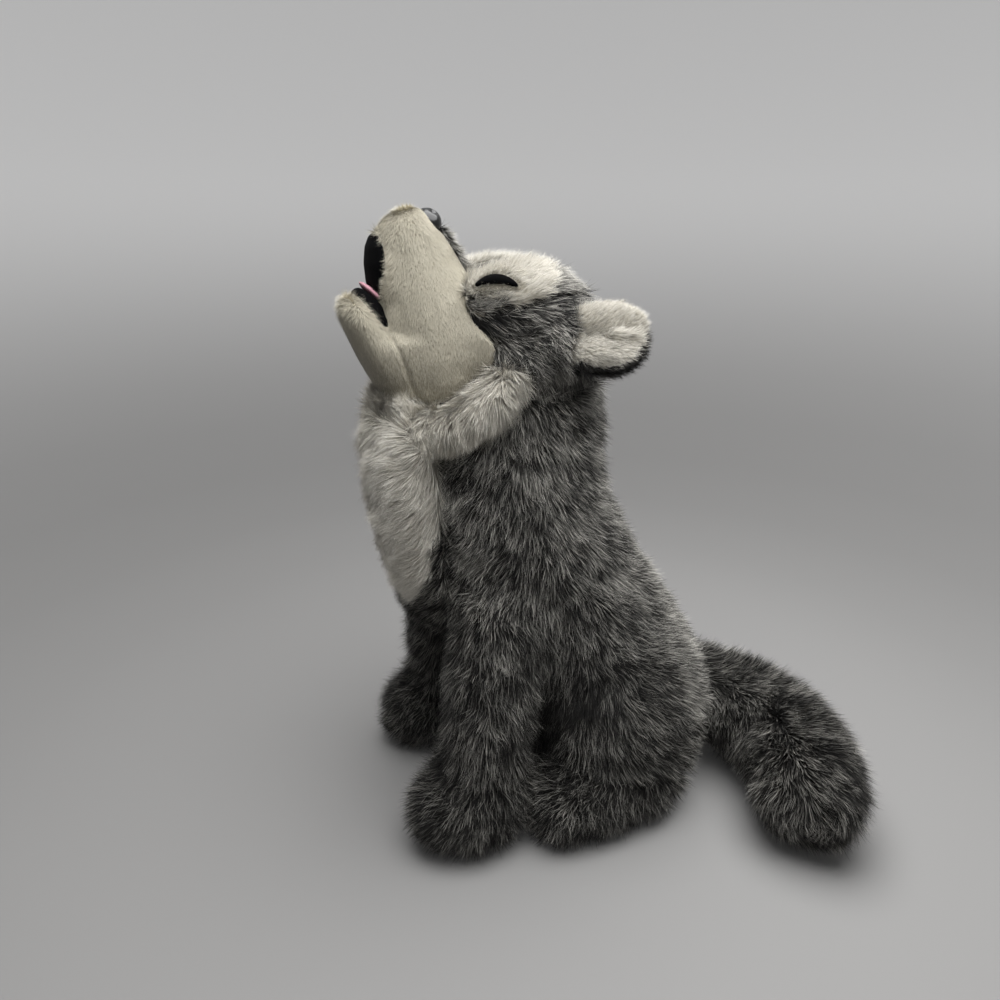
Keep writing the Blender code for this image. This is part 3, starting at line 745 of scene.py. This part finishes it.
def brow_comb(points, normals):
    """Back from the snout, and up from below over the edge of the eye."""
    ways = np.stack((0.35 * np.sign(points[:, 0]), np.ones(len(points)), np.full(len(points), 0.15)), 1)
    near = 1 - smooth_share(distances(points, "eye_left", "eye_right"), 0.002, 0.005)
    upper = smooth_share(points[:, 2], EYE_HEIGHT - 0.002, EYE_HEIGHT)
    below = (near * (1 - upper))[:, None]
    return ways * (1 - below) + np.array((0.0, 0.6, 0.35)) * below


def in_white(points):
    edge = np.interp(points[:, 1], *zip(*WHITE_EDGE))
    return smooth_share(points[:, 2] - edge, -0.0016, 0.0016)


brow_backing = backing_material("brow underfur", "#a19c90", "#bdb8ab")
for seed, side in ((4, "left"), (5, "right")):
    skin, seam = stuffed_skin(f"brow_{side}", brow_backing, "white_fur", voxel=0.0018, sink=0.0056, reach=0.008)
    eye = distances(points_of(skin.data)[0], f"eye_{side}")
    grow_pile(skin, seam, white_fibre, brow_comb, seed=seed, length=0.0078, width=0.00040,
              density=6_500_000, lift=1.05, tangle=0.40, roll=0.5, swirl_size=0.010, lock_size=0.0028,
              swirl_spread=1.2, lock_pull=0.1, lock_share=0.1, patch_share=0.4, bare=(0.0, 0.0005),
              cover_at=lambda points, normals: in_white(points) * smooth_share(eye, 0.0003, 0.0010),
              length_at=lambda points, normals: 0.32 + 0.68 * smooth_share(eye, 0.0005, 0.006),
              shade_at=lambda points, normals: np.full(len(points), 0.50),
              lay_at=lambda points, normals: 0.4 + 0.6 * smooth_share(eye, 0.001, 0.005))
    grow_pile(skin, seam, grey_fibre, head_comb, seed=seed + 60, length=0.0085, width=0.00036,
              density=4_500_000, lift=0.4, tangle=0.40, cover_at=lambda points, normals: 1 - in_white(points),
              name=f"brow_{side}_grey_pile", slot="grey_fur",
              shade_at=lambda points, normals: np.full(len(points), 0.30),
              length_at=lambda points, normals: 0.5 + 0.5 * smooth_share(eye, 0.001, 0.007))


# The ears: a shell of short dark pile behind a pad of fluffy white pile, which a stitched crease parts in two.
dark_fibre = fibre_material(
    "dark short pile",
    ((0.0, "#0e0e0e"), (0.5, "#201f1e"), (1.0, "#363533")),
    ((0.0, "#141413"), (0.5, "#3b3a38"), (1.0, "#7c7a74")),
)
dark_backing = backing_material("dark underfur", "#111110", "#222120")


EAR_TURN = math.radians(28)
EAR_MIDDLE = (0.0499, 0.0014, 0.2864)
PAD_EDGE = ((-0.0200, 0.2800), (-0.0127, 0.2783), (-0.0052, 0.2752), (0.0022, 0.2767), (0.0090, 0.2817), (0.0170, 0.2900))


def ear_ways(points):
    """The ear's own ways: out of its face, from its root to its tip, and up across it."""
    sign = math.copysign(1.0, points[:, 0].mean())
    turned = Euler((0, -EAR_TURN * sign, -EAR_TURN * sign)).to_matrix()
    out, along, up = (np.array(turned @ Vector(axis)) for axis in ((sign, 0, 0), (0, 1, 0), (0, 0, 1)))
    height = (points - np.array((EAR_MIDDLE[0] * sign, *EAR_MIDDLE[1:]))) @ up
    return out, along, up, height


def in_pad(points):
    """The dark pile comes round onto the pad's lower side, as far as PAD_EDGE."""
    edge = np.interp(points[:, 1], *zip(*PAD_EDGE))
    return smooth_share(points[:, 2] - edge, -0.0006, 0.0006)


def ear_comb(points, normals):
    _, along, up, height = ear_ways(points)
    return along * 1.0 + np.outer(np.clip(height / 0.003, -1, 1), up) * 0.45


for seed, side in ((6, "left"), (7, "right")):
    skin, seam = stuffed_skin(
        f"ear_inner_{side}", white_backing, "white_fur", voxel=0.0016, sink=0.0034, soften=7, reach=0.0012
    )
    points, _ = points_of(skin.data)
    _, along, _, height = ear_ways(points)
    far = smooth_share(points @ along, np.quantile(points @ along, 0.45), np.quantile(points @ along, 0.65))
    crease = np.abs(height) + 0.004 * far
    grow_pile(skin, seam, white_fibre, ear_comb, seed=seed, length=0.0060, width=0.00040,
              density=6_500_000, lift=0.75, tangle=0.30, roll=0.4,
              shade_at=lambda points, normals: np.full(len(points), 0.60), swirl_size=0.010, lock_size=0.0028,
              swirl_spread=1.0, lock_pull=0.1, lock_share=0.1, patch_share=0.4, bare=(-0.001, 0.0),
              cover_at=lambda points, normals: in_pad(points),
              length_at=lambda points, normals: (0.45 + 0.55 * smooth_share(crease, 0.0, 0.004)) * (
                  1 - 0.4 * smooth_share(-height, 0.008, 0.015)
              ))
    grow_pile(skin, seam, dark_fibre, ear_comb, seed=seed + 50, length=0.0050, width=0.00036, density=6_500_000,
              lift=0.5, tangle=0.4, swirl_size=0.008, lock_size=0.0028, bare=(-0.001, 0.0),
              cover_at=lambda points, normals: 1 - in_pad(points), name=f"ear_edge_{side}_pile", slot="dark_plush")
    skin, seam = stuffed_skin(
        f"ear_back_{side}", dark_backing, "dark_plush", voxel=0.0018, sink=0.0030, soften=3, reach=0.0015
    )
    points, _ = points_of(skin.data)
    on_rim = in_pad(points) * (1 - smooth_share(distances(points, f"ear_inner_{side}"), 0.0030, 0.0050))
    grow_pile(skin, seam, white_fibre, ear_comb, seed=seed + 30, length=0.0056, width=0.00040, density=6_500_000,
              lift=0.7, tangle=0.30, roll=0.4,
              shade_at=lambda points, normals: np.full(len(points), 0.50), swirl_size=0.010, swirl_spread=1.0, lock_pull=0.1, lock_share=0.1,
              patch_share=0.4, bare=(-0.001, 0.0), cover_at=lambda points, normals: on_rim,
              name=f"ear_rim_{side}_pile", slot="white_fur")
    grow_pile(skin, seam, dark_fibre, ear_comb, seed=seed + 40, length=0.0062, width=0.00036,
              density=5_500_000, lift=0.7, tangle=0.5, swirl_size=0.008, lock_size=0.0028, bare=(0.0008, 0.0025),
              cover_at=lambda points, normals: 1 - on_rim)


# The muzzle and the lower jaw: panels of short dense cream pile, like velvet. They are sewn edge to edge
# from the corner of the mouth to the throat, so one skin runs over both, with the seam drawn into it.
SHORT_PILE = 0.0026
SNOUT_WAY = (0.0, 0.145, -1.0)
SEAM_DEPTH = 0.0014
NOSE_DENT = 0.0006
MOUTH_CORNER_HEIGHT = 0.292
# The cream pile's darker roots are painted shade between the strands.
cream_fibre = fibre_material(
    "cream short pile",
    ((0.0, "#8a8475"), (0.5, "#a09a8a"), (1.0, "#b4ae9e")),
    ((0.0, "#b7b09e"), (0.5, "#c7c1af"), (1.0, "#d6d0bf")),
)
cream_backing = backing_material("cream underfur", "#a29c8b", "#b3ad9c", grain=0.0015)


def ways_to(points, *nodes):
    """Each point's way to the nearest spot of some nodes."""
    tree = tree_of(nodes)
    ways = np.array([tree.find_nearest(Vector(point))[0] - Vector(point) for point in points])
    return ways / np.maximum(np.linalg.norm(ways, axis=1), 1e-9)[:, None]


def throat_block(low, high):
    """The stuffing between the jaw and the muzzle below the corner of the mouth: the block round both."""
    block = bmesh.new()
    for node in ("muzzle", "lower_jaw"):
        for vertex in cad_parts[node].data.vertices:
            if low < vertex.co.z < high:
                block.verts.new(vertex.co)
    made = bmesh.ops.convex_hull(block, input=block.verts)
    spare = [part for part in made["geom_interior"] if isinstance(part, bmesh.types.BMVert)]
    bmesh.ops.delete(block, geom=spare, context="VERTS")
    bmesh.ops.recalc_face_normals(block, faces=block.faces)
    mesh = bpy.data.meshes.new("throat_block")
    block.to_mesh(mesh)
    block.free()
    return mesh


CHEEK_CUTS = (
    ((0, -0.05975, 0.29795), (0, 0.917, 0.399)),
    ((0, -0.0535, 0.2789), (0, 0.994, -0.107)),
    ((0, 0, 0.262), (0, 0, -1)),
    ((0, 0, 0.3125), (0, 0, 1)),
)
snout_skin, snout_seam = stuffed_skin(
    ("muzzle", "lower_jaw"), cream_backing, "cream_plush", voxel=0.0018, sink=0.0012, soften=8,
    closed=(
        ("muzzle", "lower_jaw", 0.011, 0.0, MOUTH_CORNER_HEIGHT),
        ("muzzle", "head", 0.012, 0.255, 0.3125),
    ),
    blocks_in=(cut_block("head", CHEEK_CUTS), throat_block(0.0, MOUTH_CORNER_HEIGHT - 0.003)), name="snout_skin",
)
points, normals = points_of(snout_skin.data)
beside = np.abs(distances(points, "muzzle") - distances(points, "lower_jaw"))
groove = (1 - smooth_share(beside, 0.0, 0.0022)) * (points[:, 2] < MOUTH_CORNER_HEIGHT)
nose_rim = 1 - smooth_share(distances(points, "nose"), 0.0, 0.005)
points -= normals * (groove * SEAM_DEPTH + nose_rim * NOSE_DENT)[:, None]
lip = 1 - smooth_share(distances(points, "palate_lining"), 0.0005, 0.006)
lip *= smooth_share(np.abs(points[:, 0]), 0.0120, 0.0150)
tip = smooth_share(points[:, 2], 0.322, 0.340)
points[:, 1] -= 0.0018 * np.maximum(lip, 0.5 * tip * smooth_share(-normals[:, 1], -0.2, 0.5))
snout_skin.data.vertices.foreach_set("co", points.ravel())
snout_skin.data.update()
rim = 1 - smooth_share(distances(points, "palate_lining"), 0.0005, 0.0045)
rim = np.maximum(rim, 0.3 - 0.3 * smooth_share(distances(points, "jaw_lining"), 0.0005, 0.0045))
nose_away = distances(points, "nose")
nose_rim = 1 - smooth_share(nose_away, 0.001, 0.004)
fuzz = 0.6 * smooth_share(points[:, 2], 0.322, 0.340) * smooth_share(nose_away, 0.003, 0.010)
rim_ways = ways_to(points, "palate_lining", "jaw_lining")
nose_ways = ways_to(points, "nose")


def snout_comb(points, normals):
    """Down from the tip of the snout, and out over the felt at the mouth's rim and over the nose."""
    ways = np.tile(SNOUT_WAY, (len(points), 1))
    return ways * (1 - 0.7 * rim)[:, None] + rim_ways * (1.4 * rim)[:, None] + nose_ways * (0.6 * nose_rim)[:, None]


chin = smooth_share(points[:, 2], 0.275, 0.303) * (distances(points, "lower_jaw") < 0.003)
fuzz = np.maximum(fuzz, smooth_share(points[:, 2], 0.288, 0.303) * (distances(points, "lower_jaw") < 0.003))
on_cheek = np.maximum(in_cheek(points), distances(points, "muzzle") < 0.0025)
# The snout's pile is painted paler towards its top and darker below: partly painted light from the lamp overhead,
# partly the lower snout's own greyer pile. The chin's pile is paler too.
grow_pile(snout_skin, snout_seam, cream_fibre, snout_comb, seed=8,
          length=SHORT_PILE, width=0.00030, density=6_600_000, lift=0.20, tangle=0.22, roll=0.06,
          swirl_size=0.006, swirl_spread=0.5, lock_size=0.0016, lock_pull=0.0, lock_share=0.15,
          patch_size=0.010, patch_share=0.5, bare=(-0.002, -0.001),
          length_at=lambda points, normals: 1 + 0.7 * rim - 0.4 * nose_rim + 0.8 * fuzz,
          lay_at=lambda points, normals: 1 - 0.6 * fuzz,
          shade_at=lambda points, normals: 0.75 * smooth_share(points[:, 2], 0.262, 0.300) + 0.3 * chin,
          cover_at=lambda points, normals: on_cheek * np.maximum(
              smooth_share(beside, 0.0005, 0.0013), points[:, 2] >= MOUTH_CORNER_HEIGHT
          ) * smooth_share(nose_away, 0.0003, 0.0012))


# The bridge strip: a band of grey pile, clipped short, along the top of the snout.
skin, seam = stuffed_skin("bridge_strip", grey_backing, "grey_fur", voxel=0.0012, sink=0.001, soften=4)
grow_pile(skin, seam, grey_fibre, lambda points, normals: np.tile(SNOUT_WAY, (len(points), 1)), seed=10,
          length=0.0062, width=0.00034, density=7_000_000, lift=1.0, tangle=0.4, swirl_size=0.005, lock_size=0.002,
          bare=(0.0, 0.0006), shade_at=lambda points, normals: np.full(len(points), 0.45))


# The mouth: black felt lines both jaws, and a tongue of pink felt lies between them.
def felt_material(name, colour, other):
    made, tree, shader = new_material(
        name, Roughness=0.95, Specular_IOR_Level=0.05, Sheen_Weight=0.01, Sheen_Roughness=0.6
    )
    spot = add_node(tree, "ShaderNodeTexCoord").outputs["Object"]
    fibres = add_node(
        tree, "ShaderNodeTexNoise", {"Vector": spot, "Scale": 1 / 0.0012, "Detail": 4.0, "Distortion": 1.5}
    ).outputs["Fac"]
    mixed = add_node(
        tree, "ShaderNodeMix", {0: fibres, 6: linear(colour), 7: linear(other)}, data_type="RGBA"
    )
    tree.links.new(mixed.outputs[2], shader.inputs["Base Color"])
    bump = add_node(tree, "ShaderNodeBump", {"Strength": 0.5, "Distance": 0.0003, "Height": fibres})
    tree.links.new(bump.outputs[0], shader.inputs["Normal"])
    return made


black_felt = felt_material("black felt", "#020203", "#080809")
pink_felt = felt_material("pink felt", "#bf8d97", "#dca9b4")
for node, felt, slot, voxel in (
    ("palate_lining", black_felt, "black_felt", 0.0012),
    ("jaw_lining", black_felt, "black_felt", 0.0012),
    ("tongue", pink_felt, "pink_felt", 0.0008),
    ("eye_left", black_felt, "black_felt", 0.0005),
    ("eye_right", black_felt, "black_felt", 0.0005),
):
    stuffed_skin(node, felt, slot, voxel=voxel, sink=0.0, soften=4)


# The nose: one moulded button of glossy black ABS, pushed through the pile, with two nostrils and a groove
# between them. The mould leaves it faintly uneven, which softens its highlights.
NOSE_MIDDLE = (0.0, -0.0748, 0.3418)
NOSE_HALF = (0.0105, 0.0070, 0.0075)
NOSE_TURN = math.radians(-30)
NOSTRIL_PLACE = (0.46, -0.10)
NOSTRIL_DEPTH = 0.24
nose_plastic, plastic_tree, plastic_shader = new_material(
    "moulded black ABS", Base_Color=linear("#0b0b0c"), Roughness=0.26, IOR=1.50, Coat_Weight=0.0
)
plastic_place = add_node(plastic_tree, "ShaderNodeTexCoord").outputs["Object"]
ripple = add_node(plastic_tree, "ShaderNodeTexNoise", {"Vector": plastic_place, "Scale": 1 / 0.0025, "Detail": 1.0})
ripple = add_node(
    plastic_tree, "ShaderNodeBump", {"Strength": 0.12, "Distance": 0.0004, "Height": ripple.outputs["Fac"]}
)
plastic_tree.links.new(ripple.outputs[0], plastic_shader.inputs["Normal"])
shape = bmesh.new()
bmesh.ops.create_uvsphere(shape, u_segments=56, v_segments=40, radius=1.0)
for vertex in shape.verts:
    across, back, front = vertex.co
    wide = 1.0 + 0.14 * back
    dent = 0.0
    if front > 0:
        nostril = math.hypot((abs(across) - NOSTRIL_PLACE[0]) / 0.20, (back - NOSTRIL_PLACE[1]) / 0.26)
        groove = math.exp(-((across / 0.06) ** 2)) * max(0.0, min(1.0, 0.5 - 1.5 * back))
        dent = NOSTRIL_DEPTH * math.exp(-(nostril**2)) + 0.09 * groove
    vertex.co = Vector((across * wide, back, front)) * (1 - dent)
nose_mesh = bpy.data.meshes.new("nose_button")
shape.transform(
    Matrix.Translation(NOSE_MIDDLE) @ Matrix.Rotation(NOSE_TURN, 4, "X") @ Matrix.Diagonal((*NOSE_HALF, 1.0))
)
bmesh.ops.recalc_face_normals(shape, faces=shape.faces)
shape.to_mesh(nose_mesh)
shape.free()
nose_mesh.shade_smooth()
nose_mesh.materials.append(nose_plastic)
nose = new_object("nose_button", nose_mesh)
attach(nose, "root")
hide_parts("nose")
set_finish(nose, "black_plastic")


# The cheek ruffs: pads of long white pile behind the muzzle, hanging over the neck.
def ruff_comb(points, normals):
    return np.stack(
        (0.2 * np.sign(points[:, 0]), 9.0 * (points[:, 1] + 0.072), np.full(len(points), -1.0)), 1
    )


for seed, side in ((11, "left"), (12, "right")):
    skin, seam = stuffed_skin(
        f"cheek_ruff_{side}", white_backing, "white_fur", voxel=0.0025, reach=0.003,
        sink=lambda points: 0.0042 + 0.0035 * smooth_share(points[:, 1], -0.058, -0.045)
    )
    # The ruff's white pile is painted a little darker than the white pile elsewhere, as painted shade.
    grow_pile(skin, seam, white_fibre, ruff_comb, seed=seed, length=0.0100, width=0.00042,
              density=5_200_000, lift=0.48, tangle=0.26, roll=0.45, lock_size=0.004, lock_pull=0.2,
              lock_share=0.08, patch_share=0.6, bare=(0.0, 0.0008),
              shade_at=lambda points, normals: np.full(len(points), -0.10))


# The paws: four big soft pads of the same grey pile, ruffled, sewn under the legs.
def paw_comb(points, normals):
    """Out from the top of the paw, forward and down to the floor."""
    out = (points - points.mean(0)) / (points.max(0) - points.min(0)).max()
    tangled = np.array([noise.noise_vector(Vector(point) / 0.010) for point in points])
    return np.stack((out[:, 0] * 1.6, out[:, 1] * 1.3 - 0.5, np.full(len(points), -0.6)), 1) + tangled * 0.9


for seed, paw in enumerate(("forepaw_left", "forepaw_right", "hind_foot_left", "hind_foot_right"), 53):
    skin, seam = stuffed_skin(paw, grey_backing, "grey_fur", voxel=0.0035, sink=LONG_PILE_SINK)
    grow_pile(skin, seam, grey_fibre, paw_comb, seed=seed, tangle=0.75, lift=0.95, length=0.0135, shade_at=painted_light_and_shade)


# The tail: a stuffed tube of the grey pile that bends round on the floor. Its pile parts along the top and
# runs to the tip.
TAIL_LINE = ((0.0, 0.090), (0.034, 0.115), (0.061, 0.130), (0.092, 0.130), (0.124, 0.113), (0.149, 0.090))
TAIL_LINE_HEIGHT = 0.038
TAIL_SINK = 0.0068


TAIL_PART = math.radians(52)


def tail_comb(points, normals):
    """Towards the tip, and down on either side of a parting on the tail's upper front."""
    line = np.array(TAIL_LINE)
    near = np.full(len(points), 1e9)
    way = np.zeros((len(points), 3))
    front = np.zeros((len(points), 3))
    beside = np.zeros(len(points))
    for first, second in zip(line, line[1:]):
        step = second - first
        share = np.clip((points[:, :2] - first) @ step / (step @ step), 0, 1)
        offset = points[:, :2] - (first + share[:, None] * step)
        gap = np.linalg.norm(offset, axis=1)
        step = step / np.linalg.norm(step)
        inner = np.array((step[1], -step[0]))
        better = gap < near
        near[better] = gap[better]
        way[better, :2] = step
        front[better, :2] = inner
        beside[better] = (offset @ inner)[better]
    height = points[:, 2] - TAIL_LINE_HEIGHT
    turn = np.arctan2(height, beside) - TAIL_PART
    turn = np.where(turn < -math.pi, turn + 2 * math.pi, turn)
    across = np.stack((-height[:, None] * front[:, 0:1], -height[:, None] * front[:, 1:2]), 1)[:, :, 0]
    round_way = np.concatenate((across, beside[:, None]), 1)
    round_way /= np.maximum(np.linalg.norm(round_way, axis=1), 1e-9)[:, None]
    return way * 0.9 + round_way * np.clip(turn / 0.7, -1, 1)[:, None]


tail_skin, tail_seam = stuffed_skin("tail", grey_backing, "grey_fur", voxel=0.0035, sink=TAIL_SINK)
# The tail's pile is darker still: partly painted shade low by the floor, partly a darker tone of its own.
grow_pile(tail_skin, tail_seam, grey_fibre, tail_comb, seed=17,
          shade_at=lambda points, normals: painted_light_and_shade(points, normals) - 0.20)
